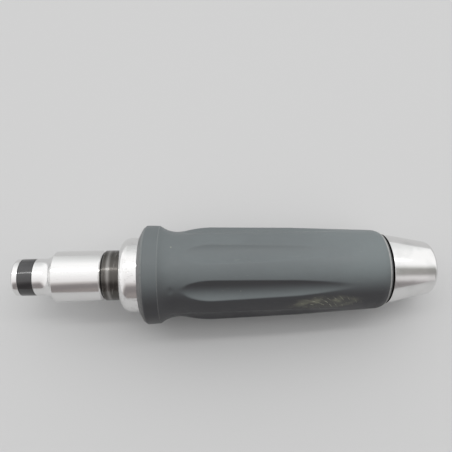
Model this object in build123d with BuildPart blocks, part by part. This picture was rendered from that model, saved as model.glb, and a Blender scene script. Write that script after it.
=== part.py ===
from build123d import *
from math import atan, cos, radians, sin, sqrt, tan
import os

# Hand impact driver with a pull-off bit holder, in millimetres.
# It lies along X. The origin is the centre of the bit socket's mouth, +X runs
# back along the axis to the striking face, and +Z is up.

# Bit holder
holder_length = 38.0
holder_diameter = 22.0
nose_diameter = 16.0
nose_length = 12.0
flare_length = 5.4
flare_lip = 0.3
mouth_chamfer = 0.8
holder_edge = 0.8
hex_across_flats = 8.0
hex_clearance = 0.1
hex_depth = 15.0
hex_lead_in = 0.6
drill_point_angle = 118.0
band_start = 2.8
band_width = 6.2
band_thickness = 1.15
band_clearance = 0.03
bit_ball_diameter = 3.0
bit_ball_stand = 0.45
bit_ball_clearance = 0.06

# Square drive at the front of the spindle. With the holder on, its spring ball is pressed in
square_size = 12.7
square_length = 15.0
square_clearance = 0.15
square_corner = 1.4
square_tip = 1.0
square_socket_spare = 0.8
square_lead_in = 0.6
drive_ball_diameter = 4.8
drive_ball_gap = 0.02
drive_ball_place_share = 0.5
drive_ball_clearance = 0.06
drive_hole_depth = 9.2
drive_spring_wire = 0.5
drive_spring_turns = 3

# Spindle
holder_gap = 0.3
neck_diameter = 21.8
neck_shown = 7.1
neck_chamfer = 0.6
neck_groove_place = 2.5
neck_groove_width = 0.5
neck_groove_depth = 0.3
drum_shoulder = 2.1
drum_length = 31.0
drum_edge = 0.6
running_clearance = 0.08

# Cam: windows in the drum, one pin in each, and what a blow does
stroke = 6.5
blow_turn = 20.0
cam_count = 2
cam_pin_diameter = 6.0
cam_pin_depth = 4.8
cam_pin_edge = 0.5
cam_pin_place = 17.8
cam_pin_angle = 90.0
cam_clearance = 0.15
cam_floor_clearance = 0.4
window_steps = 4
press_clearance = 0.02

# Front collar and the rings that it holds
collar_shown = 8.5
collar_length = 22.6
collar_slope_length = 2.8
collar_front_wall = 0.45
collar_rounding = 3.4
neck_clearance = 0.12
seal_place = 2.0
seal_width = 2.4
seal_height = 2.0
seal_clearance = 0.05
bush_place = 5.4
bush_length = 6.8
bush_wall = 2.0
bush_clearance = 0.06
ring_clearance = 0.3
bumper_thickness = 2.0
washer_thickness = 1.5
rest_gap = 0.1
gasket_thickness = 0.8

# Striking body
spigot_wall = 1.72
spigot_edge = 0.6
body_shoulder = 1.4
body_cylinder_length = 43.2
body_taper_length = 6.0
body_taper_depth = 1.6
seam_width = 0.8
cap_lip = 1.0
cap_edge_diameter = 22.8
cap_length = 21.8
cap_rounding = 2.6
spring_ledge = 1.88
spring_bore_length = 42.0
stop_gap = 0.2

# Return spring, its seat, and the disc and washer at its ends
seat_thickness = 5.0
seat_edge = 0.5
seat_boss_clearance = 0.5
seat_boss_length = 4.5
thrust_disc_thickness = 1.5
thrust_disc_inset = 3.0
thrust_disc_hole = 6.0
spring_clearance = 0.5
spring_wire_width = 2.0
spring_wire_height = 3.2
spring_turns = 4
spring_gap = 0.1
spring_washer_thickness = 1.6
spring_washer_clearance = 0.15
spring_washer_hole = 9.0

# Rubber grip, its walls measured outwards from the body's cylinder, and at the heel from the cap
grip_length = 106.1
grip_fit = 0.03
flange_front_wall = 1.2
flange_bevel_wall = 4.3
flange_bevel_length = 1.7
flange_crown_length = 1.3
flange_wall = 5.3
flange_taper = 0.22
flange_length = 8.5
hollow_wall = 3.2
hollow_place = 11.5
waist_wall = 2.3
waist_place = 16.2
bulge_wall = 3.9
bulge_place = 32.0
middle_wall = 3.05
middle_place = 66.0
tail_wall = 1.3
heel_length = 4.5
heel_wall = 0.3
flute_count = 8
flute_angle = 126.6
flute_radius = 9.0
flute_start = 17.0
flute_start_wall = 2.65
flute_end = 96.0
flute_end_wall = 1.95

# How far a cut runs past the face that it opens
overrun = 1.0

# Places along the axis
neck_start = holder_length + holder_gap
square_start = neck_start - square_length
collar_start = neck_start + neck_shown
collar_end = collar_start + collar_length
grip_start = collar_start + collar_shown
grip_end = grip_start + grip_length
cap_end = grip_end + cap_length
seal_start = collar_start + seal_place
bush_start = collar_start + bush_place
bumper_start = bush_start + bush_length
spigot_start = bumper_start + bumper_thickness
drum_start = spigot_start + washer_thickness + rest_gap
drum_end = drum_start + drum_length
cam_pin_x = drum_start + cam_pin_place
seat_start = drum_end + thrust_disc_thickness
seat_end = seat_start + seat_thickness
spring_bore_start = seat_end + stroke + stop_gap
spring_bore_end = spring_bore_start + spring_bore_length
spring_washer_start = spring_bore_end - spring_washer_thickness
body_start = collar_end + gasket_thickness
body_cylinder_end = body_start + body_cylinder_length
taper_end = body_cylinder_end + body_taper_length

# Radii that more than one piece follows
nose_radius = nose_diameter / 2
holder_radius = holder_diameter / 2
neck_radius = neck_diameter / 2
drum_radius = neck_radius + drum_shoulder
drum_bore = drum_radius + running_clearance
spring_bore = drum_bore - spring_ledge
spigot_radius = drum_bore + spigot_wall
body_radius = spigot_radius + body_shoulder
body_tail_radius = body_radius - body_taper_depth
cap_root_radius = body_tail_radius + cap_lip

os.makedirs("parts", exist_ok=True)


def finish(piece, label):
    """Name a finished piece and write its STEP file."""
    piece.label = label
    export_step(piece, f"parts/{label}.step")


def about_axis(count, first_angle):
    """Evenly spaced turns about the X axis, measured from +Y towards +Z."""
    return [Location((0, 0, 0), (first_angle + 360 * k / count, 0, 0)) for k in range(count)]


def ring(start, end, inner_radius, outer_radius):
    """A plain ring about the X axis."""
    with BuildPart() as made:
        with BuildSketch(Plane.YZ.offset(start)):
            Circle(outer_radius)
            Circle(inner_radius, mode=Mode.SUBTRACT)
        extrude(amount=end - start)
    return made.part


def flat_wire_spring(start, length, outer_radius, wire_width, wire_height, turns):
    """A spring of rectangular wire along +X, with its ends ground flat."""
    pitch = length / turns
    with BuildPart() as made:
        with BuildLine():
            path = Helix(
                pitch=pitch,
                height=pitch * (turns + 1),
                radius=outer_radius - wire_width / 2,
                center=(start - pitch / 2, 0, 0),
                direction=(1, 0, 0),
            )
        with BuildSketch(Plane(origin=path @ 0, x_dir=(1, 0, 0), z_dir=path % 0)):
            Rectangle(wire_height, wire_width)
        sweep(is_frenet=True)
        with BuildSketch(Plane.YZ.offset(start)):
            Circle(outer_radius + wire_width)
        extrude(amount=length, mode=Mode.INTERSECT)
    return made.part


# Bit holder: turned outside, a hexagon from the front and a square from the back
hex_socket = hex_across_flats + hex_clearance
hex_corner_radius = hex_socket / sqrt(3)
square_socket = square_size + square_clearance
square_socket_start = square_start - square_socket_spare
groove_radius = nose_radius - band_thickness
flare_end = nose_length + flare_length
drill_radius = hex_socket / 2
drill_point = drill_radius / tan(radians(drill_point_angle / 2))
bit_ball_radius = bit_ball_diameter / 2
bit_ball_centre = hex_socket / 2 - bit_ball_stand + bit_ball_radius
bit_ball_x = band_start + band_width / 2
drive_ball_radius = drive_ball_diameter / 2
drive_ball_centre = square_socket / 2 - drive_ball_gap - drive_ball_radius
drive_ball_x = square_start + square_length * drive_ball_place_share

with BuildPart() as bit_holder:
    with BuildSketch(Plane.XY):
        with BuildLine():
            Polyline(
                (0, 0),
                (0, nose_radius - mouth_chamfer),
                (mouth_chamfer, nose_radius),
                (band_start, nose_radius),
                (band_start, groove_radius),
                (band_start + band_width, groove_radius),
                (band_start + band_width, nose_radius),
                (nose_length, nose_radius),
            )
            TangentArc(
                (nose_length, nose_radius),
                (flare_end, holder_radius - flare_lip),
                tangent=(1, 0),
            )
            Polyline(
                (flare_end, holder_radius - flare_lip),
                (flare_end + flare_lip, holder_radius),
                (holder_length - holder_edge, holder_radius),
                (holder_length, holder_radius - holder_edge),
                (holder_length, 0),
                (0, 0),
            )
        make_face()
    revolve(axis=Axis.X)
    # Hexagon with a flat on top, ending in the cone that the drill leaves
    with BuildSketch(Plane.YZ):
        RegularPolygon(hex_socket / 2, 6, major_radius=False)
    extrude(amount=hex_depth, mode=Mode.SUBTRACT)
    with BuildSketch(Plane.XY):
        with BuildLine():
            Polyline(
                (hex_depth - overrun, 0),
                (hex_depth - overrun, drill_radius),
                (hex_depth, drill_radius),
                (hex_depth + drill_point, 0),
                close=True,
            )
        make_face()
    revolve(axis=Axis.X, mode=Mode.SUBTRACT)
    # Countersink at the mouth
    with BuildSketch(Plane.XY):
        with BuildLine():
            Polyline(
                (0, 0),
                (0, hex_corner_radius + hex_lead_in),
                (hex_corner_radius + hex_lead_in, 0),
                close=True,
            )
        make_face()
    revolve(axis=Axis.X, mode=Mode.SUBTRACT)
    # Square socket and its bevelled mouth
    with BuildSketch(Plane.YZ.offset(square_socket_start)):
        RectangleRounded(square_socket, square_socket, square_corner)
    extrude(amount=holder_length - square_socket_start, mode=Mode.SUBTRACT)
    with BuildSketch(Plane.YZ.offset(holder_length - square_lead_in)):
        RectangleRounded(square_socket, square_socket, square_corner)
    with BuildSketch(Plane.YZ.offset(holder_length)):
        wide = square_socket + 2 * square_lead_in
        RectangleRounded(wide, wide, square_corner + square_lead_in)
    loft(ruled=True, mode=Mode.SUBTRACT)
    # Hole for the bit's ball, from the band's groove to the top flat
    with BuildSketch(Plane.XY):
        with Locations((bit_ball_x, 0)):
            Circle(bit_ball_radius + bit_ball_clearance)
    extrude(amount=nose_radius, mode=Mode.SUBTRACT)
finish(bit_holder.part, "bit_holder")

with BuildPart() as bit_retaining_band:
    add(
        ring(
            band_start + band_clearance,
            band_start + band_width - band_clearance,
            groove_radius + band_clearance,
            nose_radius,
        )
    )
finish(bit_retaining_band.part, "bit_retaining_band")

with BuildPart() as bit_retaining_ball:
    with Locations((bit_ball_x, 0, bit_ball_centre)):
        Sphere(bit_ball_radius)
finish(bit_retaining_ball.part, "bit_retaining_ball")

# Cam window, drawn about the +Y radius. Its floor is flat. Each side wall keeps
# the pin's half width from a radius, and that radius fans out towards the back.
pin_radius = cam_pin_diameter / 2
pin_tip = drum_bore - cam_pin_depth
window_radius = pin_radius + cam_clearance
window_deep = pin_tip - cam_floor_clearance
window_floor = window_deep * cos(radians(blow_turn)) - window_radius * sin(radians(blow_turn))
window_top = drum_radius + overrun
window_front = cam_pin_x - stroke
window_slope = atan(drum_radius * radians(blow_turn) / stroke)
wall_offset = window_radius / cos(window_slope)
wall_shift = window_radius * sin(window_slope)


def window_section(turn, offset):
    """Corners of a window across the axis, its walls turned each way and then moved out."""
    slope = tan(radians(turn))
    beside = offset / cos(radians(turn))
    floor_half = window_floor * slope + beside
    top_half = window_top * slope + beside
    return (
        (window_floor, -floor_half),
        (window_top, -top_half),
        (window_top, top_half),
        (window_floor, floor_half),
    )


with BuildPart() as window:
    # The two slanted walls
    for step in range(window_steps + 1):
        travel = stroke * step / window_steps - wall_shift
        with BuildSketch(Plane.YZ.offset(window_front + travel)):
            with BuildLine():
                Polyline(*window_section(blow_turn * travel / stroke, wall_offset), close=True)
            make_face()
    loft(ruled=True)
    # The straight back edge
    with BuildSketch(Plane.YZ.offset(cam_pin_x - wall_shift)):
        with BuildLine():
            Polyline(*window_section(blow_turn, 0), close=True)
        make_face()
    extrude(amount=wall_shift + window_radius)
    # A round end where a pin stops: one in front and two at the back
    for x, turn, deep in (
        (window_front, 0, window_floor),
        (cam_pin_x, blow_turn, window_deep),
        (cam_pin_x, -blow_turn, window_deep),
    ):
        radius_way = Vector(0, cos(radians(turn)), sin(radians(turn)))
        with BuildSketch(Plane((x, 0, 0), x_dir=(1, 0, 0), z_dir=radius_way).offset(deep)):
            Circle(window_radius)
        extrude(amount=window_top - deep)

# Spindle: square drive, neck and cam drum in one piece of steel.
# At rest each pin lies in a back corner, one blow's turn ahead of its window's middle.
groove_x = neck_start + neck_groove_place

with BuildPart() as spindle:
    with BuildSketch(Plane.XY):
        with BuildLine():
            Polyline(
                (neck_start, 0),
                (neck_start, neck_radius - neck_chamfer),
                (neck_start + neck_chamfer, neck_radius),
                (groove_x - neck_groove_width / 2, neck_radius),
                (groove_x, neck_radius - neck_groove_depth),
                (groove_x + neck_groove_width / 2, neck_radius),
                (drum_start, neck_radius),
                (drum_start, drum_radius - drum_edge),
                (drum_start + drum_edge, drum_radius),
                (drum_end - drum_edge, drum_radius),
                (drum_end, drum_radius - drum_edge),
                (drum_end, 0),
                close=True,
            )
        make_face()
    revolve(axis=Axis.X)
    with BuildSketch(Plane.YZ.offset(square_start)):
        RectangleRounded(square_size, square_size, square_corner)
    extrude(amount=square_length)
    chamfer(faces().sort_by(Axis.X)[0].edges(), square_tip)
    with Locations(*about_axis(cam_count, cam_pin_angle - blow_turn)):
        add(window.part, mode=Mode.SUBTRACT)
    with BuildSketch(Plane.XY.offset(square_size / 2 - drive_hole_depth)):
        with Locations((drive_ball_x, 0)):
            Circle(drive_ball_radius + drive_ball_clearance)
    extrude(amount=drive_hole_depth + overrun, mode=Mode.SUBTRACT)
finish(spindle.part, "spindle")

with BuildPart() as drive_ball:
    with Locations((drive_ball_x, 0, drive_ball_centre)):
        Sphere(drive_ball_radius)
finish(drive_ball.part, "drive_ball")

drive_spring_length = drive_ball_centre - drive_ball_radius - square_size / 2 + drive_hole_depth
with BuildPart() as drive_ball_spring:
    with Locations(Location((drive_ball_x, 0, square_size / 2 - drive_hole_depth), (0, -90, 0))):
        add(
            flat_wire_spring(
                0,
                drive_spring_length,
                drive_ball_radius - ring_clearance,
                drive_spring_wire,
                drive_spring_wire,
                drive_spring_turns,
            )
        )
finish(drive_ball_spring.part, "drive_ball_spring")

# Cam pins, pressed in from outside and flush with the body
with BuildPart() as cam_pin:
    with BuildSketch(Plane.XY):
        with BuildLine():
            Polyline(
                (cam_pin_x, pin_tip),
                (cam_pin_x + pin_radius - cam_pin_edge, pin_tip),
                (cam_pin_x + pin_radius, pin_tip + cam_pin_edge),
                (cam_pin_x + pin_radius, body_radius - cam_pin_edge - press_clearance),
                (cam_pin_x + pin_radius - cam_pin_edge, body_radius - cam_pin_edge),
                (cam_pin_x, body_radius - cam_pin_edge),
                close=True,
            )
        make_face()
    revolve(axis=Axis((cam_pin_x, 0, 0), (0, 1, 0)))

for k, place in enumerate(about_axis(cam_count, cam_pin_angle)):
    with BuildPart() as placed_pin:
        with Locations(place):
            add(cam_pin.part)
    finish(placed_pin.part, f"cam_pin_{k + 1}")

# Front collar: screwed over the body's spigot, it holds the seal and the bush
thread_radius = spigot_radius + press_clearance
neck_bore = neck_radius + neck_clearance
seal_groove = neck_radius + seal_clearance + seal_height + seal_clearance
bush_outer = neck_radius + bush_clearance + bush_wall

with BuildPart() as front_collar:
    with BuildSketch(Plane.XY):
        with BuildLine():
            FilletPolyline(
                (collar_start, neck_bore + collar_front_wall),
                (collar_start + collar_slope_length, body_radius),
                (collar_end, body_radius),
                radius=collar_rounding,
            )
            Polyline(
                (collar_end, body_radius),
                (collar_end, thread_radius),
                (bumper_start, thread_radius),
                (bumper_start, bush_outer + press_clearance),
                (bush_start, bush_outer + press_clearance),
                (bush_start, neck_bore),
                (seal_start + seal_width, neck_bore),
                (seal_start + seal_width, seal_groove),
                (seal_start, seal_groove),
                (seal_start, neck_bore),
                (collar_start, neck_bore),
                (collar_start, neck_bore + collar_front_wall),
            )
        make_face()
    revolve(axis=Axis.X)
finish(front_collar.part, "front_collar")

# Rings inside the collar and the body: start, end, inner radius, outer radius
rings = {
    "neck_seal": (
        seal_start + seal_clearance,
        seal_start + seal_width - seal_clearance,
        neck_radius + seal_clearance,
        seal_groove - seal_clearance,
    ),
    "collar_bush": (
        bush_start,
        bush_start + bush_length,
        neck_radius + bush_clearance,
        bush_outer,
    ),
    "bumper_ring": (
        bumper_start,
        spigot_start,
        neck_radius + ring_clearance,
        spigot_radius,
    ),
    "thrust_washer": (
        spigot_start,
        spigot_start + washer_thickness,
        neck_radius + ring_clearance,
        drum_radius,
    ),
    "collar_gasket": (
        collar_end,
        body_start,
        thread_radius,
        body_radius - grip_fit,
    ),
    "thrust_disc": (
        drum_end,
        seat_start,
        thrust_disc_hole / 2,
        drum_radius - thrust_disc_inset,
    ),
    "spring_washer": (
        spring_washer_start,
        spring_bore_end,
        spring_washer_hole / 2,
        spring_bore - spring_washer_clearance,
    ),
}
for name, sizes in rings.items():
    with BuildPart() as plain_ring:
        add(ring(*sizes))
    finish(plain_ring.part, name)

# Striking body: one forging, with a stepped bore in front and a solid tapered head
with BuildPart() as striking_body:
    with BuildSketch(Plane.XY):
        with BuildLine():
            Polyline(
                (spring_bore_end, 0),
                (spring_bore_end, spring_bore),
                (spring_bore_start, spring_bore),
                (spring_bore_start, drum_bore),
                (spigot_start, drum_bore),
                (spigot_start, spigot_radius - spigot_edge),
                (spigot_start + spigot_edge, spigot_radius),
                (body_start, spigot_radius),
                (body_start, body_radius),
                (body_cylinder_end, body_radius),
                (taper_end, body_tail_radius),
                (grip_end + seam_width, body_tail_radius),
                (grip_end + seam_width, cap_root_radius),
                (cap_end, cap_edge_diameter / 2),
                (cap_end, 0),
                close=True,
            )
        make_face()
        fillet(vertices().group_by(Axis.X)[-1].sort_by(Axis.Y)[-1], cap_rounding)
    revolve(axis=Axis.X)
    # Holes for the cam pins
    with BuildSketch(Plane.XZ):
        with Locations((cam_pin_x, 0)):
            Circle(pin_radius + press_clearance)
    pin_hole = extrude(amount=-body_radius - overrun, mode=Mode.PRIVATE)
    with Locations(*about_axis(cam_count, cam_pin_angle)):
        add(pin_hole, mode=Mode.SUBTRACT)
finish(striking_body.part, "striking_body")

# Spring seat: a flange that slides in the bore and a boss inside the spring
spring_radius = spring_bore - spring_clearance
seat_boss_radius = spring_radius - spring_wire_width - seat_boss_clearance

with BuildPart() as spring_seat:
    with BuildSketch(Plane.XY):
        with BuildLine():
            Polyline(
                (seat_start, 0),
                (seat_start, drum_radius - seat_edge),
                (seat_start + seat_edge, drum_radius),
                (seat_end, drum_radius),
                (seat_end, seat_boss_radius),
                (seat_end + seat_boss_length, seat_boss_radius),
                (seat_end + seat_boss_length, 0),
                close=True,
            )
        make_face()
    revolve(axis=Axis.X)
finish(spring_seat.part, "spring_seat")

with BuildPart() as return_spring:
    add(
        flat_wire_spring(
            seat_end + spring_gap,
            spring_washer_start - seat_end - 2 * spring_gap,
            spring_radius,
            spring_wire_width,
            spring_wire_height,
            spring_turns,
        )
    )
finish(return_spring.part, "return_spring")

# Grip: a flange, a waist and a long bulge, turned, with flutes cut along it
flange_bevel = (grip_start + flange_bevel_length, body_radius + flange_bevel_wall)
flange_crown = (flange_bevel[0] + flange_crown_length, body_radius + flange_wall)
flange_end = (grip_start + flange_length, flange_crown[1] - flange_taper)
hollow = (grip_start + hollow_place, body_radius + hollow_wall)
waist = (grip_start + waist_place, body_radius + waist_wall)
bulge = (grip_start + bulge_place, body_radius + bulge_wall)
middle = (grip_start + middle_place, body_radius + middle_wall)
heel = (grip_end, cap_root_radius + heel_wall)
tail = (grip_end - heel_length, body_radius + tail_wall)

with BuildPart() as flute:
    with BuildLine():
        flute_line = Line(
            (grip_start + flute_start, body_radius + flute_start_wall + flute_radius),
            (grip_start + flute_end, body_radius + flute_end_wall + flute_radius),
        )
    with BuildSketch(Plane(origin=flute_line @ 0, z_dir=flute_line % 0)):
        Circle(flute_radius)
    sweep()

with BuildPart() as grip:
    with BuildSketch(Plane.XY):
        with BuildLine():
            Polyline(
                (grip_start, body_radius + grip_fit),
                (grip_start, body_radius + flange_front_wall),
                flange_bevel,
                flange_crown,
                flange_end,
            )
            ThreePointArc(flange_end, hollow, waist)
            TangentArc(waist, bulge, tangent=(1, 0))
            Polyline(bulge, middle, tail)
            TangentArc(tail, heel, tangent=Vector(*tail) - Vector(*middle))
            Polyline(
                heel,
                (grip_end, body_tail_radius + grip_fit),
                (taper_end, body_tail_radius + grip_fit),
                (body_cylinder_end, body_radius + grip_fit),
                (grip_start, body_radius + grip_fit),
            )
        make_face()
    revolve(axis=Axis.X)
    with Locations(*about_axis(flute_count, flute_angle)):
        add(flute.part, mode=Mode.SUBTRACT)
finish(grip.part, "grip")
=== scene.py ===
import math
import bpy
from mathutils import Matrix, Vector


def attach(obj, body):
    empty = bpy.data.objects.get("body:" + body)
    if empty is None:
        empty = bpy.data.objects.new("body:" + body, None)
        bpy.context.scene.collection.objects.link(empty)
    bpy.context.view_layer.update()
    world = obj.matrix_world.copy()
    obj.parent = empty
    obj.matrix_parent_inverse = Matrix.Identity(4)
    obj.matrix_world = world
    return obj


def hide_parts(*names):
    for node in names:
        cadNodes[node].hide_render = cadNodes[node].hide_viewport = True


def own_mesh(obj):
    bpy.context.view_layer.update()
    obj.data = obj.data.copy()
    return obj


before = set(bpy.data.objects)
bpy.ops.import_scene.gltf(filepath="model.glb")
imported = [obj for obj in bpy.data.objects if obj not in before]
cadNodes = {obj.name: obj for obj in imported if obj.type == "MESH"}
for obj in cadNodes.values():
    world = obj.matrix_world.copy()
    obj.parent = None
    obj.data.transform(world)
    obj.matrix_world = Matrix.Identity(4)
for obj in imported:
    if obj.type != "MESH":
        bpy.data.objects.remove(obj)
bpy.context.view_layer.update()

# Hand impact driver. The frame is the solids' own: X runs back along the axis, and the origin
# is the middle of the bit socket's mouth. Sizes in the dictionaries are in millimetres, but
# for the floor's size and the lamp, which are in metres.
mm = 0.001
mergeWithin = 0.001
solidSmoothAngle = 28
overrun = 1.0  # how far a cutter runs past the face that it opens


# Small helpers for modelling

def clearSelection():
    if bpy.context.object and bpy.context.object.mode == "EDIT":
        bpy.ops.object.mode_set(mode="OBJECT")
    bpy.ops.object.select_all(action="DESELECT")


def pick(piece):
    clearSelection()
    piece.select_set(True)
    bpy.context.view_layer.objects.active = piece


def selectOnly(kind, wanted):
    # leaves the active piece in edit mode with just the wanted edges or faces selected. They
    # are picked as such, because corners alone would bring the edges between them along
    bpy.ops.object.mode_set(mode="EDIT")
    bpy.ops.mesh.select_mode(type=kind)
    bpy.ops.mesh.select_all(action="DESELECT")
    bpy.ops.object.mode_set(mode="OBJECT")
    mesh = bpy.context.object.data
    for part in mesh.edges if kind == "EDGE" else mesh.polygons:
        part.select = wanted(part)
    bpy.ops.object.mode_set(mode="EDIT")


def closeUp(piece, smoothAngle=30):
    # merge what lies together, turn the faces outwards and smooth all but the sharp edges
    pick(piece)
    bpy.ops.object.mode_set(mode="EDIT")
    bpy.ops.mesh.select_all(action="SELECT")
    bpy.ops.mesh.remove_doubles(threshold=mergeWithin * mm)
    bpy.ops.mesh.normals_make_consistent(inside=False)
    bpy.ops.object.mode_set(mode="OBJECT")
    bpy.ops.object.shade_smooth_by_angle(angle=math.radians(smoothAngle))


def rounded(corners, arcSteps=5):
    # corners are (x, radius) or (x, radius, rounding): each rounding becomes an arc
    outline = []
    for i, corner in enumerate(corners):
        here = Vector(corner[:2])
        if len(corner) == 2:
            outline.append(here)
            continue
        back = (Vector(corners[i - 1][:2]) - here).normalized()
        ahead = (Vector(corners[i + 1][:2]) - here).normalized()
        half = back.angle(ahead) / 2
        middle = here + (back + ahead).normalized() * corner[2] / math.sin(half)
        start = here + back * corner[2] / math.tan(half) - middle
        end = here + ahead * corner[2] / math.tan(half) - middle
        turn = start.angle_signed(end)
        for step in range(arcSteps + 1):
            outline.append(middle + Matrix.Rotation(-turn * step / arcSteps, 2) @ start)
    return [tuple(point) for point in outline]


def arcFrom(start, way, end, steps=12):
    # points after start on the arc that leaves it along way and stops at end
    first, along = Vector(start), Vector(way).normalized()
    chord = Vector(end) - Vector(start)
    side = Vector((-along.y, along.x))
    middle = first + side * chord.length_squared / (2 * chord.dot(side))
    turn = 2 * math.atan2(chord.dot(side), chord.dot(along))
    return [
        tuple(middle + Matrix.Rotation(turn * step / steps, 2) @ (first - middle))
        for step in range(1, steps + 1)
    ]


def turned(name, outline, steps):
    # a chain of edges drawn beside the axis, spun once round it
    clearSelection()
    bpy.ops.mesh.primitive_plane_add(size=mm)
    piece = bpy.context.object
    piece.name = piece.data.name = name
    bpy.ops.object.mode_set(mode="EDIT")
    bpy.ops.mesh.merge(type="CENTER")
    x, radius = outline[0]
    bpy.ops.transform.translate(value=(x * mm, 0, radius * mm))
    for nextX, nextRadius in outline[1:]:
        step = ((nextX - x) * mm, 0, (nextRadius - radius) * mm)
        bpy.ops.mesh.extrude_region_move(TRANSFORM_OT_translate={"value": step})
        x, radius = nextX, nextRadius
    bpy.ops.mesh.select_all(action="SELECT")
    bpy.ops.mesh.spin(steps=steps, angle=2 * math.pi, center=(0, 0, 0), axis=(1, 0, 0))
    bpy.ops.object.mode_set(mode="OBJECT")
    closeUp(piece)
    return piece


def cutAway(piece, cutter):
    pick(piece)
    cut = piece.modifiers.new("Cut", "BOOLEAN")
    cut.operation, cut.solver, cut.object = "DIFFERENCE", "EXACT", cutter
    bpy.ops.object.modifier_apply(modifier=cut.name)
    bpy.data.objects.remove(cutter)


def rodCutter(sides, radius, start, end):
    # a prism from start to end, with its first corner towards +Y when it lies along X
    clearSelection()
    a, b = Vector(start) * mm, Vector(end) * mm
    bpy.ops.mesh.primitive_cylinder_add(
        vertices=sides,
        radius=radius * mm,
        depth=(b - a).length,
        location=(a + b) / 2,
        rotation=(b - a).to_track_quat("Z", "Y").to_euler(),
    )
    return bpy.context.object


def dress(piece, body, material, slot, *nodes):
    piece.data.materials.clear()
    piece.data.materials.append(material)
    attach(piece, body)
    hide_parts(*nodes)
    print("made", piece.name, len(piece.data.polygons), "faces")


# Small helpers for materials

def addNode(tree, kind, values, **settings):
    # values that are sockets are linked, the others are set
    node = tree.nodes.new(kind)
    for setting, value in settings.items():
        setattr(node, setting, value)
    for socket, value in values.items():
        if isinstance(value, bpy.types.NodeSocket):
            tree.links.new(value, node.inputs[socket])
        else:
            node.inputs[socket].default_value = value
    return node


def newMaterial(name, **plain):
    material = bpy.data.materials.new(name)
    material.use_nodes = True
    shader = material.node_tree.nodes["Principled BSDF"]
    for socket, value in plain.items():
        shader.inputs[socket.replace("_", " ")].default_value = value
    return material, material.node_tree


def complete(material, colour, rough, height, relief):
    # relief is how high the height's 1 stands, in millimetres
    tree = material.node_tree
    values = {"Height": height, "Distance": relief * mm, "Strength": 1.0}
    bump = addNode(tree, "ShaderNodeBump", values)
    shader = tree.nodes["Principled BSDF"]
    tree.links.new(colour, shader.inputs["Base Color"])
    tree.links.new(rough, shader.inputs["Roughness"])
    tree.links.new(bump.outputs["Normal"], shader.inputs["Normal"])
    return material


def combine(tree, operation, a, b):
    return addNode(tree, "ShaderNodeMath", {0: a, 1: b}, operation=operation).outputs[0]


def times(tree, a, b):
    return combine(tree, "MULTIPLY", a, b)


def plus(tree, a, b):
    return combine(tree, "ADD", a, b)


def spread(tree, value, low, high, outLow=0.0, outHigh=1.0):
    values = {
        "Value": value, "From Min": low, "From Max": high, "To Min": outLow, "To Max": outHigh,
    }
    node = addNode(tree, "ShaderNodeMapRange", values, interpolation_type="SMOOTHSTEP")
    return node.outputs["Result"]


def placeOn(tree, stretch=(1, 1, 1), centre=(0, 0, 0)):
    # the piece's own coordinates, per millimetre, moved to centre and stretched
    own = addNode(tree, "ShaderNodeTexCoord", {}).outputs["Object"]
    centre = [c * mm for c in centre]
    away = addNode(tree, "ShaderNodeVectorMath", {0: own, 1: centre}, operation="SUBTRACT")
    values = {0: away.outputs[0], 1: [s / mm for s in stretch]}
    return addNode(tree, "ShaderNodeVectorMath", values, operation="MULTIPLY").outputs[0]


def grain(tree, size, edges, stretch=(1, 1, 1), detail=3.0, seed=0.0):
    # soft noise of about that size in millimetres, read between its two edges
    place = placeOn(tree, stretch, (seed, 0, 0))
    values = {"Vector": place, "Scale": 1 / size, "Detail": detail}
    noise = addNode(tree, "ShaderNodeTexNoise", values)
    return spread(tree, noise.outputs["Fac"], *edges)


def turningLines(tree, look, detail=1.0):
    # fine lines round the axis, as a lathe or a hand that turns the piece leaves
    stretch = (1, look["lineStretch"], look["lineStretch"])
    return grain(tree, look["lineSize"], look["lineEdges"], stretch, detail)


def alongX(tree):
    return addNode(tree, "ShaderNodeSeparateXYZ", {0: placeOn(tree)}).outputs["X"]


def alongAxis(tree, start, end, soft):
    # 1 between two places along the axis, fading to 0 over soft millimetres outside them
    x = alongX(tree)
    rising = spread(tree, x, start - soft, start)
    return times(tree, rising, spread(tree, x, end, end + soft, 1.0, 0.0))


def blendColours(tree, factor, a, b):
    mix = addNode(tree, "ShaderNodeMix", {0: factor}, data_type="RGBA", clamp_factor=False)
    for socket, value in ((6, a), (7, b)):
        if isinstance(value, bpy.types.NodeSocket):
            tree.links.new(value, mix.inputs[socket])
        else:
            mix.inputs[socket].default_value = (*value, 1)
    return mix.outputs[2]


# Finishes

chromeLook = {
    "colour": (0.79, 0.785, 0.78), "roughness": (0.09, 0.17), "relief": 0.02,
    "smudgeSize": 7.0, "smudgeEdges": (0.40, 0.62),
    "lineSize": 0.05, "lineEdges": (0.35, 0.65), "lineStretch": 0.02, "lineHeight": 0.12,
    "pitSize": 0.55, "pitEdges": (0.16, 0.30), "pitColour": (0.30, 0.28, 0.26), "pitRough": 0.3,
    "patchSize": 3.2, "patchEdges": (0.60, 0.72), "patchSeed": 4,
}


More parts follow.
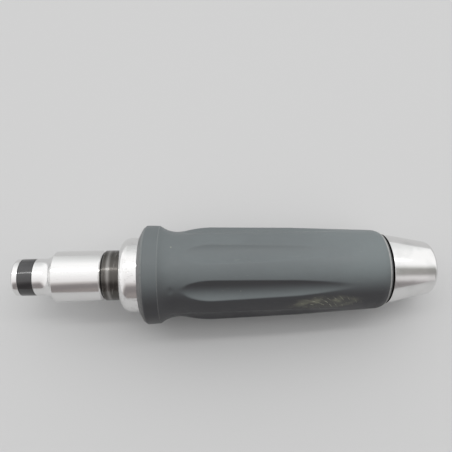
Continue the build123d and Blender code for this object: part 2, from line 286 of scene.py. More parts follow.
def chrome(name, pitShare):
    # satin plating: faint turning lines, smudges and, where pitShare is over 0, small pits
    material, tree = newMaterial(name, Metallic=1.0)
    look = chromeLook
    smudge = grain(tree, look["smudgeSize"], look["smudgeEdges"])
    lines = turningLines(tree, look)
    values = {"Vector": placeOn(tree), "Scale": 1 / look["pitSize"]}
    cell = addNode(tree, "ShaderNodeTexVoronoi", values).outputs["Distance"]
    edges = [edge - pitShare for edge in look["patchEdges"]]
    patch = grain(tree, look["patchSize"], edges, seed=look["patchSeed"])
    pit = times(tree, spread(tree, cell, *look["pitEdges"], 1.0, 0.0), patch)
    colour = blendColours(tree, pit, look["colour"], look["pitColour"])
    rough = spread(tree, plus(tree, smudge, lines), 0, 2, *look["roughness"])
    rough = plus(tree, rough, times(tree, pit, look["pitRough"]))
    height = combine(tree, "SUBTRACT", times(tree, lines, look["lineHeight"]), pit)
    return complete(material, colour, rough, height, look["relief"])


headLook = {
    "colour": (0.78, 0.775, 0.77), "roughness": (0.12, 0.19), "relief": 0.015,
    "stain": (0.70, 0.70, 0.695), "stainSize": 9.0, "stainEdges": (0.46, 0.70),
    "lineSize": 0.08, "lineEdges": (0.3, 0.7), "lineStretch": 0.015, "lineHeight": 0.12,
    "fineSize": 0.9, "fineEdges": (0.3, 0.7),
    "seam": (159.0, 160.9, 0.08), "seamShade": (0.018, 0.017, 0.016), "seamShadeRough": 0.5,
    "dentSize": 2.0, "dentEdges": (0.64, 0.78), "dentSeed": 2, "dentDepth": 0.25,
}


def satinSteel(name):
    # turned and polished head: handling stains, small dents, and painted shade in the seam by
    # the grip
    material, tree = newMaterial(name, Metallic=1.0)
    look = headLook
    stain = grain(tree, look["stainSize"], look["stainEdges"])
    lines = turningLines(tree, look)
    fine = grain(tree, look["fineSize"], look["fineEdges"], detail=4.0)
    # painted shade: darker and rougher in the seam behind the grip
    seamShade = alongAxis(tree, *look["seam"])
    colour = blendColours(tree, stain, look["colour"], look["stain"])
    colour = blendColours(tree, seamShade, colour, look["seamShade"])
    rough = spread(tree, plus(tree, lines, fine), 0, 2, *look["roughness"])
    rough = plus(tree, rough, times(tree, seamShade, look["seamShadeRough"]))
    dents = grain(tree, look["dentSize"], look["dentEdges"], seed=look["dentSeed"])
    dents = times(tree, dents, look["dentDepth"])
    height = combine(tree, "SUBTRACT", times(tree, lines, look["lineHeight"]), dents)
    return complete(material, colour, rough, height, look["relief"])


shaftLook = {
    "colour": (0.096, 0.091, 0.084), "wearAndHighlight": (0.30, 0.29, 0.28), "roughness": (0.20, 0.32),
    "rubSize": 1.3, "rubEdges": (0.52, 0.78), "rubStretch": (1, 0.25, 0.25),
    "rubEven": 0.25, "rubInLines": 0.5,
    "lineSize": 0.10, "lineEdges": (0.3, 0.7), "lineStretch": 0.02,
    "ringX": 41.0, "ringWidth": 1.3, "ringStrength": 0.8, "relief": 0.008,
}


def blackSteel(name):
    # blacked and oiled steel, rubbed brighter in streaks, with one brighter ring round the shaft
    # that is part rubbed wear and part painted highlight
    material, tree = newMaterial(name, Metallic=1.0)
    look = shaftLook
    rub = grain(tree, look["rubSize"], look["rubEdges"], look["rubStretch"])
    lines = turningLines(tree, look)
    streaks = plus(tree, look["rubEven"], times(tree, lines, look["rubInLines"]))
    # the ring round the neck: part rubbed wear, part painted highlight
    ring = alongAxis(tree, look["ringX"], look["ringX"], look["ringWidth"])
    ring = times(tree, ring, look["ringStrength"])
    wearAndHighlight = combine(tree, "MAXIMUM", times(tree, rub, streaks), ring)
    colour = blendColours(tree, wearAndHighlight, look["colour"], look["wearAndHighlight"])
    rough = spread(tree, plus(tree, rub, lines), 0, 2, *look["roughness"])
    return complete(material, colour, rough, lines, look["relief"])


innerSteelLook = {
    "filmSize": 3.0, "filmEdges": (0.35, 0.7), "filmTone": 0.78, "roughSpan": 0.12,
    "lineSize": 0.12, "lineEdges": (0.3, 0.7), "lineStretch": 0.05, "relief": 0.01,
}


def brightSteel(name, colour, roughness):
    # ground or drawn steel inside the tool, with an oil film's patches
    material, tree = newMaterial(name, Metallic=1.0)
    look = innerSteelLook
    film = grain(tree, look["filmSize"], look["filmEdges"])
    darker = tuple(c * look["filmTone"] for c in colour)
    shown = blendColours(tree, film, colour, darker)
    rough = spread(tree, film, 0, 1, roughness, roughness + look["roughSpan"])
    return complete(material, shown, rough, turningLines(tree, look, 3.0), look["relief"])


softLook = {
    "mottleEdges": (0.35, 0.65), "gain": 1.35, "lift": 0.01, "roughSpan": 0.1, "relief": 0.02,
}


def plainSoft(name, colour, roughness, size):
    # sealing and damping stuff: moulded rubber or fibre
    material, tree = newMaterial(name)
    look = softLook
    mottle = grain(tree, size, look["mottleEdges"], detail=4.0)
    lighter = tuple(min(1.0, c * look["gain"] + look["lift"]) for c in colour)
    shown = blendColours(tree, mottle, colour, lighter)
    rough = spread(tree, mottle, 0, 1, roughness, roughness + look["roughSpan"])
    return complete(material, shown, rough, mottle, look["relief"])


bandLook = {
    "colour": (0.016, 0.0155, 0.017), "roughness": (0.14, 0.22), "specular": 1.0,
    "dust": (0.04, 0.039, 0.039), "dustSize": 1.1, "dustEdges": (0.56, 0.78), "dustShare": 0.5,
    "lineSize": 0.12, "lineEdges": (0.58, 0.74), "lineStretch": 0.04, "relief": 0.002,
}


def bandRubber(name):
    # hard, glossy black with a little dust and hairline scuffs round it
    look = bandLook
    material, tree = newMaterial(name, Specular_IOR_Level=look["specular"])
    dust = grain(tree, look["dustSize"], look["dustEdges"], detail=4.0)
    hair = turningLines(tree, look)
    dusty = times(tree, dust, look["dustShare"])
    colour = blendColours(tree, dusty, look["colour"], look["dust"])
    rough = spread(tree, plus(tree, dust, hair), 0, 2, *look["roughness"])
    return complete(material, colour, rough, hair, look["relief"])


gripLook = {
    "bareAndShaded": (0.056, 0.056, 0.060), "roughness": (0.40, 0.56), "roughEdges": (0.1, 1.2),
    "specular": 0.4, "relief": 0.025,
    # broad patches and a fine mottle, and how much of each makes the tone
    "patchSize": 18.0, "patchEdges": (0.34, 0.66), "patchShare": 0.7,
    "mottleSize": 2.4, "mottleEdges": (0.35, 0.68), "mottleSeed": 7, "mottleShare": 0.3,
    "mottleHeight": 0.6, "gritSize": 0.22, "gritEdges": (0.25, 0.75), "gritHeight": 0.25,
    # the bloom lies where the rubber faces up and a little away from the viewer, more of it
    # towards the tail: part dust, part painted light on the upper side, painted shade below and
    # a painted highlight towards the tail
    "bloomAndPaintedLight": (0.138, 0.156, 0.160), "bloomAndPaintedLightFrom": (0.20, 0.80),
    "bloomAndPaintedLightEven": 0.88, "bloomAndPaintedLightInTone": 0.12, "tailFrom": (112.0, 152.0), "tailGain": 1.30,
    # the flange is handled most; its rims and the heel's are pale, part rubbed wear and part
    # painted highlight, and the seam behind the heel gets painted shade
    "flangeFlat": (57.0, 62.1, 0.5), "flangeTone": 0.88,
    "paleRims": (
        (54.2, 56.3, 0.3, 0.35),
        (62.5, 62.6, 0.15, 0.3),
        (158.7, 159.2, 0.25, 1.25),
    ),
    "rimColour": (0.36, 0.36, 0.35), "rimSize": 1.2, "rimEdges": (0.25, 0.60), "rimSeed": 5,
    "rimEven": 0.35, "rimInGrain": 0.45,
    "heelShade": (159.6, 161.0, 0.2), "heelColour": (0.025, 0.025, 0.026),
    # one scuffed patch: a soft smear, with thin scratches on arcs about one point
    "scuffPlace": (131.0, -16.0, 8.4), "scuffReach": (19.0, 5.0, 5.0), "scuffEdges": (0.2, 1.0),
    "smearColour": (0.36, 0.36, 0.27), "smearSize": 3.0, "smearEdges": (0.42, 0.68),
    "smearStretch": (0.5, 1, 1), "smearSeed": 3, "smearEven": 0.12, "smearInGrain": 0.6,
    "arcColour": (0.66, 0.66, 0.52), "arcCentre": (121.0, -28.0, 1.0), "arcGap": 1.9,
    "arcWander": 1.6, "arcWanderDetail": 1.0, "arcWanderScale": 1.5, "arcEdges": (0.93, 0.99),
    "arcBreakSize": 2.4, "arcBreakEdges": (0.48, 0.60), "arcBreakSeed": 6, "arcStrength": 0.6,
    # nicks and hairlines all over
    "nickGap": 9.0, "nickEdges": (0.02, 0.045), "nickStrength": 0.30,
    "hairSize": 0.35, "hairEdges": (0.70, 0.80), "hairStretch": (0.06, 1, 1), "hairSeed": 9,
    "hairStrength": 0.12, "marksRough": 0.4,
}


def bloomAndPaintedLightOn(tree, look, tone):
    # makeGrip stores how far each point faces up; the lighter colour there is part dust and part
    # painted light, and the bare colour below is part painted shade
    facing = addNode(tree, "ShaderNodeAttribute", {}, attribute_name="facing").outputs["Fac"]
    share = spread(tree, facing, *look["bloomAndPaintedLightFrom"])
    even = plus(tree, look["bloomAndPaintedLightEven"], times(tree, tone, look["bloomAndPaintedLightInTone"]))
    share = times(tree, share, even)
    tail = spread(tree, alongX(tree), *look["tailFrom"], 1.0, look["tailGain"])
    share = times(tree, share, tail)
    flat = alongAxis(tree, *look["flangeFlat"])
    return times(tree, share, spread(tree, flat, 0, 1, 1.0, look["flangeTone"]))


def paleRimsAndHeelShade(tree, look, colour):
    # pale rims: part rubbed wear, part painted highlight; then painted shade at the heel's seam
    wearAndHighlight = grain(tree, look["rimSize"], look["rimEdges"], detail=4.0, seed=look["rimSeed"])
    rimPaleness = plus(tree, look["rimEven"], times(tree, wearAndHighlight, look["rimInGrain"]))
    for *rim, strength in look["paleRims"]:
        pale = times(tree, alongAxis(tree, *rim), times(tree, rimPaleness, strength))
        colour = blendColours(tree, pale, colour, look["rimColour"])
    return blendColours(tree, alongAxis(tree, *look["heelShade"]), colour, look["heelColour"])


def scuffsOn(tree, look):
    # the smear and the scratches, both fading out at the patch's edge
    reach = [1 / r for r in look["scuffReach"]]
    place = placeOn(tree, reach, look["scuffPlace"])
    away = addNode(tree, "ShaderNodeVectorMath", {0: place}, operation="LENGTH")
    near = spread(tree, away.outputs["Value"], *look["scuffEdges"], 1.0, 0.0)
    smear = grain(
        tree, look["smearSize"], look["smearEdges"], look["smearStretch"], 6.0, look["smearSeed"]
    )
    smear = plus(tree, look["smearEven"], times(tree, smear, look["smearInGrain"]))
    # at a scale of 1 the wave texture's rings repeat every pi / 10
    values = {
        "Vector": placeOn(tree, centre=look["arcCentre"]),
        "Scale": math.pi / 10 / look["arcGap"],
        "Distortion": look["arcWander"],
        "Detail": look["arcWanderDetail"],
        "Detail Scale": look["arcWanderScale"],
    }
    arcs = addNode(
        tree, "ShaderNodeTexWave", values, wave_type="RINGS", rings_direction="SPHERICAL"
    )
    scratch = spread(tree, arcs.outputs["Fac"], *look["arcEdges"])
    broken = grain(
        tree, look["arcBreakSize"], look["arcBreakEdges"], seed=look["arcBreakSeed"]
    )
    scratch = times(tree, times(tree, scratch, broken), look["arcStrength"])
    return times(tree, smear, near), times(tree, scratch, near)


def nicksOn(tree, look):
    values = {"Vector": placeOn(tree), "Scale": 1 / look["nickGap"]}
    cell = addNode(tree, "ShaderNodeTexVoronoi", values).outputs["Distance"]
    nicks = spread(tree, cell, *look["nickEdges"], look["nickStrength"], 0.0)
    hair = grain(
        tree, look["hairSize"], look["hairEdges"], look["hairStretch"], 2.0, look["hairSeed"]
    )
    return combine(tree, "MAXIMUM", nicks, times(tree, hair, look["hairStrength"]))


def gripRubber(name):
    # smooth moulded rubber: dusty bloom with painted light above and painted shade below, pale
    # rims that are part wear and part painted highlight, painted shade at the heel, chalky
    # scuffs and nicks
    look = gripLook
    material, tree = newMaterial(name, Specular_IOR_Level=look["specular"])
    patches = grain(tree, look["patchSize"], look["patchEdges"], detail=5.0)
    mottle = grain(
        tree, look["mottleSize"], look["mottleEdges"], detail=5.0, seed=look["mottleSeed"]
    )
    tone = plus(
        tree,
        times(tree, patches, look["patchShare"]),
        times(tree, mottle, look["mottleShare"]),
    )
    colour = blendColours(tree, bloomAndPaintedLightOn(tree, look, tone), look["bareAndShaded"], look["bloomAndPaintedLight"])
    colour = paleRimsAndHeelShade(tree, look, colour)
    smear, scratch = scuffsOn(tree, look)
    colour = blendColours(tree, smear, colour, look["smearColour"])
    marks = combine(tree, "MAXIMUM", scratch, nicksOn(tree, look))
    colour = blendColours(tree, marks, colour, look["arcColour"])
    rough = plus(tree, tone, times(tree, marks, look["marksRough"]))
    rough = spread(tree, rough, *look["roughEdges"], *look["roughness"])
    grit = times(tree, grain(tree, look["gritSize"], look["gritEdges"]), look["gritHeight"])
    height = plus(tree, times(tree, mottle, look["mottleHeight"]), grit)
    height = combine(tree, "SUBTRACT", height, marks)
    return complete(material, colour, rough, height, look["relief"])


holderChrome = chrome("holderChrome", 0.0)
collarChrome = chrome("collarChrome", 0.15)
headSteel = satinSteel("headSteel")
shaftSteel = blackSteel("shaftSteel")
ballSteel = brightSteel("ballSteel", (0.62, 0.62, 0.62), 0.08)
pinSteel = brightSteel("pinSteel", (0.50, 0.50, 0.50), 0.16)
washerSteel = brightSteel("washerSteel", (0.46, 0.45, 0.44), 0.26)
springSteel = brightSteel("springSteel", (0.30, 0.29, 0.29), 0.30)
bushBronze = brightSteel("bushBronze", (0.62, 0.42, 0.20), 0.34)
sealRubber = plainSoft("sealRubber", (0.02, 0.02, 0.021), 0.55, 0.8)
gasketFibre = plainSoft("gasketFibre", (0.16, 0.09, 0.05), 0.8, 0.5)
bandBlack = bandRubber("bandBlack")
gripGrey = gripRubber("gripGrey")
print("mixed", len(bpy.data.materials), "materials, with those that came with the solids")


# Bit holder: turned outside, with a hexagon in its nose and a square behind

holder = {
    "length": 38.0, "radius": 11.0, "noseRadius": 8.0, "noseLength": 12.0, "flareEnd": 17.7,
    "lipInset": 0.3, "lipRounding": 0.2, "backEdge": 0.8, "backRoundings": (0.4, 0.2),
    "mouthEdge": 0.8, "mouthRoundings": (0.08, 0.35, 0.6),
    "hexFlats": 8.1, "hexDepth": 15.0, "hexLeadIn": 0.6,
    "drillMiddle": 1.2, "drillLength": 2.43, "drillSides": 48,
    "grooveStart": 2.8, "grooveEnd": 9.0, "grooveRadius": 6.85, "grooveRounding": 0.12,
    "square": 12.85, "squareStart": 22.5, "squareCorner": 1.4, "cornerSteps": 6,
    "squareLeadIn": 0.6, "ballX": 5.9, "ballHole": 1.56, "ballSides": 32, "stepsRound": 192,
}


def drillCutter(size):
    # cone that the drill leaves at the hexagon's bottom
    clearSelection()
    bpy.ops.mesh.primitive_cone_add(
        vertices=size["drillSides"],
        radius1=size["hexFlats"] / 2 * mm,
        depth=size["drillLength"] * mm,
        location=((size["hexDepth"] + size["drillMiddle"]) * mm, 0, 0),
        rotation=(0, math.radians(90), 0),
    )
    return bpy.context.object


def squareCutter(size):
    # a bar with rounded corners, widened at the socket's mouth
    clearSelection()
    deep = size["length"] - size["squareLeadIn"] - size["squareStart"]
    middle = ((size["squareStart"] + deep / 2) * mm, 0, 0)
    bpy.ops.mesh.primitive_cube_add(size=1, location=middle)
    bar = bpy.context.object
    bar.scale = (deep * mm, size["square"] * mm, size["square"] * mm)
    bpy.ops.object.transform_apply(location=True, rotation=True, scale=True)

    def runsAlongX(edge):
        a, b = (bar.data.vertices[corner].co.x for corner in edge.vertices)
        return abs(a - b) > mm

    selectOnly("EDGE", runsAlongX)
    bpy.ops.mesh.bevel(
        offset=size["squareCorner"] * mm, segments=size["cornerSteps"], affect="EDGES"
    )
    selectOnly("FACE", lambda face: face.normal.x > 0.9)
    leadIn = (size["squareLeadIn"] * mm, 0, 0)
    wide = 1 + 2 * size["squareLeadIn"] / size["square"]
    bpy.ops.mesh.extrude_region_move(TRANSFORM_OT_translate={"value": leadIn})
    mouth = (size["length"] * mm, 0, 0)
    bpy.ops.transform.resize(value=(1, wide, wide), center_override=mouth)
    bpy.ops.mesh.extrude_region_move(TRANSFORM_OT_translate={"value": (overrun * mm, 0, 0)})
    bpy.ops.mesh.select_mode(type="VERT")
    bpy.ops.object.mode_set(mode="OBJECT")
    return bar


def makeHolder(size):
    hexCorner = size["hexFlats"] / math.sqrt(3)
    sink = hexCorner + size["hexLeadIn"]
    nose, edge = size["noseRadius"], size["mouthEdge"]
    sinkRounding, faceRounding, edgeRounding = size["mouthRoundings"]
    outline = rounded([
        (sink, 0),
        (0, sink, sinkRounding),
        (0, nose - edge, faceRounding),
        (edge, nose, edgeRounding),
        (size["grooveStart"], nose, size["grooveRounding"]),
        (size["grooveStart"], size["grooveRadius"]),
        (size["grooveEnd"], size["grooveRadius"]),
        (size["grooveEnd"], nose, size["grooveRounding"]),
        (size["noseLength"], nose),
    ])
    lip = (size["flareEnd"] - size["lipInset"], size["radius"] - size["lipInset"])
    outline += arcFrom((size["noseLength"], nose), (1, 0), lip)
    sideRounding, backRounding = size["backRoundings"]
    outline += rounded([
        lip,
        (size["flareEnd"], size["radius"], size["lipRounding"]),
        (size["length"] - size["backEdge"], size["radius"], sideRounding),
        (size["length"], size["radius"] - size["backEdge"], backRounding),
        (size["length"], 0),
    ])[1:]
    piece = turned("bitHolder", outline, size["stepsRound"])
    cutAway(piece, rodCutter(6, hexCorner, (-overrun, 0, 0), (size["hexDepth"], 0, 0)))
    cutAway(piece, drillCutter(size))
    cutAway(piece, squareCutter(size))
    ballFrom, ballTo = (size["ballX"], 0, 0), (size["ballX"], 0, nose)
    cutAway(piece, rodCutter(size["ballSides"], size["ballHole"], ballFrom, ballTo))
    closeUp(piece)
    return piece


dress(makeHolder(holder), "bit_holder", holderChrome, "holder_chrome", "bit_holder")

band = {
    "start": 2.94, "end": 8.86, "inner": 6.88, "outer": 7.97, "edge": 0.22, "stepsRound": 160,
}


def makeBand(size):
    outline = rounded([
        (size["start"], size["inner"]),
        (size["start"], size["outer"], size["edge"]),
        (size["end"], size["outer"], size["edge"]),
        (size["end"], size["inner"]),
    ])
    return turned("bitBand", outline + [outline[0]], size["stepsRound"])


dress(makeBand(band), "bit_holder", bandBlack, "band_black", "bit_retaining_band")


# Spindle: the solid's own form, merged and smoothed between its sharp edges

def smoothCopy(name, node):
    piece = bpy.data.objects.new(name, cadNodes[node].data.copy())
    bpy.context.scene.collection.objects.link(piece)
    pick(piece)
    bpy.ops.mesh.customdata_custom_splitnormals_clear()
    closeUp(piece, solidSmoothAngle)
    return piece


shaft = {"grooveX": 40.8, "grooveReach": 0.1, "skinFrom": 9.81, "filledTo": 10.84}


def makeShaft(size):
    piece = smoothCopy("spindleShaft", "spindle")
    # the turned groove in the neck is nearly full of old oil
    for vertex in piece.data.vertices:
        x, y, z = (c / mm for c in vertex.co)
        radius = math.hypot(y, z)
        inGroove = abs(x - size["grooveX"]) < size["grooveReach"]
        if inGroove and size["skinFrom"] < radius < size["filledTo"]:
            vertex.co.y *= size["filledTo"] / radius
            vertex.co.z *= size["filledTo"] / radius
    return piece


dress(makeShaft(shaft), "spindle", shaftSteel, "spindle_steel", "spindle")


# Front collar: one arc from its lip to its side, with grooves inside for the seal and the bush

collar = {
    "start": 45.4, "shoulderEnd": 50.0, "end": 68.0, "lipRadius": 12.0, "radius": 16.2,
    "bore": 11.02, "sealStart": 47.4, "sealEnd": 49.8, "sealRadius": 13.05,
    "bushStart": 50.8, "bushEnd": 57.6, "bushRadius": 12.98, "thread": 14.82,
    "endRounding": 0.1, "shoulderSteps": 16, "roundingSteps": 8, "stepsRound": 176,
}


def makeCollar(size):
    side = (size["shoulderEnd"], size["radius"])
    shoulder = arcFrom(side, (-1, 0), (size["start"], size["lipRadius"]), size["shoulderSteps"])
    outline = [(size["start"], size["bore"])] + shoulder[::-1] + rounded([
        side,
        (size["end"], size["radius"], size["endRounding"]),
        (size["end"], size["thread"]),
        (size["bushEnd"], size["thread"]),
        (size["bushEnd"], size["bushRadius"]),
        (size["bushStart"], size["bushRadius"]),
        (size["bushStart"], size["bore"]),
        (size["sealEnd"], size["bore"]),
        (size["sealEnd"], size["sealRadius"]),
        (size["sealStart"], size["sealRadius"]),
        (size["sealStart"], size["bore"]),
        (size["start"], size["bore"]),
    ], size["roundingSteps"])
    return turned("frontCollar", outline, size["stepsRound"])


dress(makeCollar(collar), "housing", collarChrome, "collar_chrome", "front_collar")


# Striking body: bored in front, solid and tapered behind the grip

striker = {
    "spigotStart": 59.6, "drumBore": 13.08, "spigotRadius": 14.8, "spigotRounding": 0.5,
    "bodyStart": 68.8, "radius": 16.2, "springBore": 11.2,
    "springBoreStart": 105.4, "springBoreEnd": 147.4,
    "cylinderEnd": 112.0, "taperEnd": 118.0, "tailRadius": 14.6,
    "headStart": 160.8, "headRadius": 15.6, "headRounding": 0.25,
    "faceX": 181.8, "faceRadius": 11.4, "faceRounding": 2.6, "faceRings": (7.5, 3.5),
    "pinX": 79.0, "pinHole": 3.02, "pinFrom": 9, "pinTo": 18, "pinSides": 40,
    "roundingSteps": 8, "stepsRound": 176,
}


def makeStriker(size):
    outline = rounded([
        (size["springBoreEnd"], 0),
        (size["springBoreEnd"], size["springBore"]),
        (size["springBoreStart"], size["springBore"]),
        (size["springBoreStart"], size["drumBore"]),
        (size["spigotStart"], size["drumBore"]),
        (size["spigotStart"], size["spigotRadius"], size["spigotRounding"]),
        (size["bodyStart"], size["spigotRadius"]),
        (size["bodyStart"], size["radius"]),
        (size["cylinderEnd"], size["radius"]),
        (size["taperEnd"], size["tailRadius"]),
        (size["headStart"], size["tailRadius"]),
        (size["headStart"], size["headRadius"], size["headRounding"]),
        (size["faceX"], size["faceRadius"], size["faceRounding"]),
        *((size["faceX"], ring) for ring in size["faceRings"]),
        (size["faceX"], 0),
    ], size["roundingSteps"])
    piece = turned("strikingBody", outline, size["stepsRound"])
    for side in (1, -1):
        inside, outside = ((size["pinX"], 0, size[end] * side) for end in ("pinFrom", "pinTo"))
        cutAway(piece, rodCutter(size["pinSides"], size["pinHole"], inside, outside))
    closeUp(piece)
    return piece


dress(makeStriker(striker), "housing", headSteel, "body_steel", "striking_body")


# Rubber grip: turned, then its flutes pressed in with soft edges

grip = {
    "start": 53.9, "end": 160.0, "innerFront": 16.23, "innerRear": 14.63,
    "frontRadius": 17.4, "frontRounding": 0.3,
    "bevel": (55.6, 20.5, 1.0), "crown": (56.9, 21.5, 0.6), "flangeEnd": (62.4, 21.28, 0.3),
    "waist": (70.1, 18.5), "rise": (73.5, 18.85), "riseSteps": 5, "bulge": (85.9, 20.1),
    "middle": (119.9, 19.25), "tail": (155.5, 17.5), "heel": (160.0, 15.9), "heelSteps": 10,
    "bodyEnd": 112.0, "taperEnd": 118.0, "rowLength": 0.9, "stepsRound": 384,
    "flutes": 8, "fluteAngle": 126.6, "fluteRadius": 9.0, "fluteSoftness": 0.16,
    "fluteStart": (70.9, 27.58), "fluteEnd": (149.9, 27.15),
    "runOutFront": 4, "runOutRear": 6, "boreMargin": 0.5,
    "smoothAngle": 35, "bloomAndPaintedLightLean": 25,
}


def evenRows(outline, longest):
    # more points on the long straight runs, for the flutes to be pressed into
    rows = [outline[0]]
    for (x, r), (nextX, nextR) in zip(outline, outline[1:]):
        parts = max(1, math.ceil(math.hypot(nextX - x, nextR - r) / longest))
        for k in range(1, parts + 1):
            rows.append((x + (nextX - x) * k / parts, r + (nextR - r) * k / parts))
    return rows


def pressFlutes(piece, size):
    # each flute is a round rod laid into the skin, its axis sloping from start to end
    (startX, startAxis), (endX, endAxis) = size["fluteStart"], size["fluteEnd"]
    pitch = 2 * math.pi / size["flutes"]
    first = math.radians(size["fluteAngle"])
    soft = size["fluteSoftness"]
    for vertex in piece.data.vertices:
        x, y, z = (c / mm for c in vertex.co)
        radius = math.hypot(y, z)
        onSkin = radius >= size["innerFront"] + size["boreMargin"]
        if not (onSkin and startX - size["runOutFront"] < x < endX + size["runOutRear"]):
            continue
        turn = (math.atan2(z, y) - first + pitch / 2) % pitch - pitch / 2
        axis = startAxis + (endAxis - startAxis) * (x - startX) / (endX - startX)
        across = size["fluteRadius"] ** 2 - (axis * math.sin(turn)) ** 2
        if across <= 0:
            continue
        floor = axis * math.cos(turn) - math.sqrt(across)
        share = min(1.0, max(0.0, 0.5 + 0.5 * (floor - radius) / soft))
        pressed = floor + (radius - floor) * share - soft * share * (1 - share)
        vertex.co.y *= pressed / radius
        vertex.co.z *= pressed / radius


def storeFacing(piece, lean):
    # how far each point faces up and a little away from the viewer, for the bloom with its
    # painted light and shade
    up = Vector((0, math.sin(lean), math.cos(lean)))
    facing = piece.data.attributes.new("facing", "FLOAT", "POINT")
    for vertex in piece.data.vertices:
        facing.data[vertex.index].value = max(0.0, vertex.normal.dot(up))


def makeGrip(size):
    skin = rounded([
        (size["start"], size["innerFront"]),
        (size["start"], size["frontRadius"], size["frontRounding"]),
        size["bevel"],
        size["crown"],
        size["flangeEnd"],
        size["waist"],
    ])[:-1]
    hollow = arcFrom(size["waist"], (-1, 0), skin[-1])
    skin += hollow[-2::-1] + [size["waist"]]
    # hollow out of the waist, then round over the bulge
    skin += arcFrom(size["waist"], (1, 0), size["rise"], size["riseSteps"])
    wayForward = Vector(size["bulge"]) - Vector(size["middle"])
    crest = arcFrom(size["bulge"], wayForward, size["rise"])
    skin += crest[-2::-1] + [size["bulge"], size["middle"], size["tail"]]
    wayBack = Vector(size["tail"]) - Vector(size["middle"])
    skin += arcFrom(size["tail"], wayBack, size["heel"], size["heelSteps"])
    bore = [
        (size["end"], size["innerRear"]),
        (size["taperEnd"], size["innerRear"]),
        (size["bodyEnd"], size["innerFront"]),
        (size["start"], size["innerFront"]),
    ]
    outline = evenRows(skin, size["rowLength"]) + bore
    piece = turned("gripSleeve", outline, size["stepsRound"])
    pressFlutes(piece, size)
    closeUp(piece, size["smoothAngle"])
    storeFacing(piece, math.radians(size["bloomAndPaintedLightLean"]))
    return piece


dress(makeGrip(grip), "housing", gripGrey, "grip_rubber", "grip")


# Springs: the solids' own wire, merged and smoothed, each carried by its own body

springs = {
    "return_spring": {
        "name": "returnSpring", "body": "housing",
        "joint": "spindle_stroke", "way": (1, 0, 0), "fixed": "high",
    },
    "drive_ball_spring": {
        "name": "ballSpring", "body": "spindle",
        "joint": "drive_ball_press", "way": (0, 0, 1), "fixed": "low",
    },
}


def makeSpring(node, size):
    piece = smoothCopy(size["name"], node)
    dress(piece, size["body"], springSteel, "spring_steel", node)
    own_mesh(piece)


for node, size in springs.items():
    makeSpring(node, size)


# Nodes that keep their solids get their finishes

finishes = {
    "bit_retaining_ball": ballSteel, "drive_ball": ballSteel,
    "cam_pin_1": pinSteel, "cam_pin_2": pinSteel,
    "neck_seal": sealRubber, "collar_bush": bushBronze, "bumper_ring": sealRubber,
    "thrust_washer": washerSteel, "collar_gasket": gasketFibre, "thrust_disc": bushBronze,
    "spring_washer": washerSteel, "spring_seat": washerSteel,
}
for name, material in finishes.items():
    for holdsMaterial in cadNodes[name].material_slots:
        holdsMaterial.material = material
print("finished", len(finishes), "carried-over nodes")


# Floor: the tool lies on its flange and on the middle of its grip

floorLook = {
    "slope": 2.04, "rest": (56.9, -21.52), "size": 6.0, "parts": 12,
    "colour": 0.58, "bounce": 0.05, "roughness": 0.85, "specular": 0.1,
}


def makeFloor(look):
    clearSelection()
    restX, restZ = (c * mm for c in look["rest"])
    bpy.ops.mesh.primitive_grid_add(
        x_subdivisions=look["parts"], y_subdivisions=look["parts"], size=look["size"]
    )
    floor = bpy.context.object
    floor.name = "floor"
    slope = math.tan(math.radians(look["slope"]))
    for vertex in floor.data.vertices:
        vertex.co.z = restZ + (vertex.co.x - restX) * slope
    material, tree = newMaterial(
        "paleFloor", Roughness=look["roughness"], Specular_IOR_Level=look["specular"]
    )
    # pale to the camera and in metal, but dark where it would light the tool from below
    seen = addNode(tree, "ShaderNodeLightPath", {}).outputs
    direct = combine(tree, "MAXIMUM", seen["Is Camera Ray"], seen["Is Glossy Ray"])
    direct = combine(tree, "MAXIMUM", direct, seen["Is Transmission Ray"])
    pale, dark = (look["colour"],) * 3, (look["bounce"],) * 3
    shader = tree.nodes["Principled BSDF"]
    tree.links.new(blendColours(tree, direct, dark, pale), shader.inputs["Base Color"])
    floor.data.materials.append(material)
    print("laid the floor")


makeFloor(floorLook)


# Soft studio light: a bright ceiling that dims towards the viewer, and one thin strip lamp

stripLook = {
    "size": (1.4, 0.06), "place": (0.083, 0.18, 0.72), "aim": (0.083, 0.0, 0.0),
    "wattsPerArea": 16.0,
}


def addLamp(name, look):
    light = bpy.data.lights.new(name, "AREA")
    light.shape = "RECTANGLE"
    light.size, light.size_y = look["size"]
    light.energy = look["wattsPerArea"] * light.size * light.size_y
    lamp = bpy.data.objects.new(name, light)
    bpy.context.scene.collection.objects.link(lamp)
    down = (Vector(look["place"]) - Vector(look["aim"])).normalized()
    along = Vector((1, 0, 0))
    turn = Matrix((along, down.cross(along), down)).transposed().to_4x4()
    lamp.matrix_world = Matrix.Translation(look["place"]) @ turn


addLamp("strip", stripLook)

# the room's brightness by the angle from overhead, minus towards the viewer and plus away:
# first the light that it throws, then what polished metal shows of it
roomLook = {
    -90: (0.10, 0.10, 0.10), -60: (0.15, 0.15, 0.15), -40: (0.32, 0.32, 0.32),
    -20: (0.76, 0.76, 0.76), 0: (1.10, 1.10, 1.10), 30: (1.36, 1.36, 1.36),
    60: (1.20, 1.20, 1.20), 90: (0.90, 0.90, 0.90),
}
mirroredLook = {
    -90: (0.27, 0.25, 0.25), -74: (0.34, 0.31, 0.30), -62: (0.26, 0.24, 0.24),
    -51: (0.29, 0.27, 0.27), -43: (0.56, 0.53, 0.52), -35: (0.92, 0.90, 0.90),
    0: (1.22, 1.22, 1.22), 40: (1.22, 1.22, 1.22), 50: (1.05, 1.06, 1.06),
    66: (0.84, 0.85, 0.85), 90: (0.56, 0.57, 0.57),
}
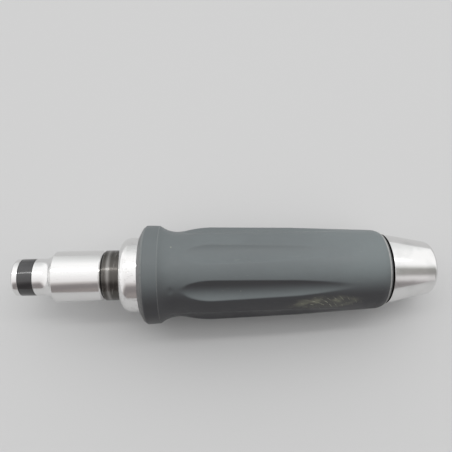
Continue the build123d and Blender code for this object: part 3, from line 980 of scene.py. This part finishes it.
# the end of the room behind the tool, which only the striking head mirrors
rearLook = {
    -90: (0.24, 0.23, 0.23), -46: (0.28, 0.26, 0.26), -40: (0.80, 0.78, 0.78),
    -34: (0.84, 0.82, 0.82), -28: (0.38, 0.37, 0.36), -13: (0.38, 0.38, 0.36),
    -7: (0.90, 0.90, 0.89), 0: (1.20, 1.20, 1.20), 40: (1.20, 1.20, 1.20),
    50: (1.05, 1.06, 1.06), 66: (0.84, 0.85, 0.85), 90: (0.56, 0.57, 0.57),
}
rearFrom = (0.50, 0.62)
backdropWhite = (1.0, 1.0, 1.0)


def roomRamp(tree, share, look):
    ramp = addNode(tree, "ShaderNodeValToRGB", {"Fac": share})
    stops = ramp.color_ramp.elements
    stops.remove(stops[0])
    for i, (angle, colour) in enumerate(sorted(look.items())):
        stop = stops[0] if i == 0 else stops.new((angle + 90) / 180)
        stop.position, stop.color = (angle + 90) / 180, (*colour, 1)
    return ramp.outputs["Color"]


def lightRoom(thrown, mirrored, rear):
    world = bpy.data.worlds.new("room")
    bpy.context.scene.world = world
    world.use_nodes = True
    tree = world.node_tree
    way = addNode(tree, "ShaderNodeTexCoord", {}).outputs["Generated"]
    parts = addNode(tree, "ShaderNodeSeparateXYZ", {0: way}).outputs
    lean = addNode(tree, "ShaderNodeMath", {0: parts["Y"]}, operation="ARCSINE").outputs[0]
    values = {"Value": lean, "From Min": -math.pi / 2, "From Max": math.pi / 2}
    share = addNode(tree, "ShaderNodeMapRange", values).outputs["Result"]
    seen = addNode(tree, "ShaderNodeLightPath", {}).outputs
    shiny = combine(tree, "MAXIMUM", seen["Is Glossy Ray"], seen["Is Transmission Ray"])
    behind = spread(tree, parts["X"], *rearFrom)
    ahead, back = roomRamp(tree, share, mirrored), roomRamp(tree, share, rear)
    shown = blendColours(tree, behind, ahead, back)
    colour = blendColours(tree, shiny, roomRamp(tree, share, thrown), shown)
    colour = blendColours(tree, seen["Is Camera Ray"], colour, backdropWhite)
    tree.links.new(colour, tree.nodes["Background"].inputs["Color"])
    print("lit the room")


lightRoom(roomLook, mirroredLook, rearLook)


# Camera at the photograph's viewing angle

view = {
    "place": (83.13, -50.71, 193.32), "tilt": -20.60, "roll": 2.08, "yaw": 2.54,
    "lens": 35.67, "sensor": 36.0, "nearest": 10,
}


def placeCamera(look):
    camera = bpy.data.cameras.new("camera")
    camera.lens, camera.sensor_width = look["lens"], look["sensor"]
    camera.clip_start = look["nearest"] * mm
    holdsCamera = bpy.data.objects.new("camera", camera)
    bpy.context.scene.collection.objects.link(holdsCamera)
    tilt, roll, yaw = (math.radians(look[key]) for key in ("tilt", "roll", "yaw"))
    turn = Matrix.Rotation(roll, 3, "Z") @ Matrix.Rotation(tilt, 3, "X")
    turn = turn @ Matrix.Rotation(yaw, 3, "Y")
    place = Vector(look["place"]) * mm
    holdsCamera.matrix_world = Matrix.Translation(place) @ turn.transposed().to_4x4()
    bpy.context.scene.camera = holdsCamera
    print("placed the camera")


placeCamera(view)
bpy.context.scene.view_settings.view_transform = "Standard"
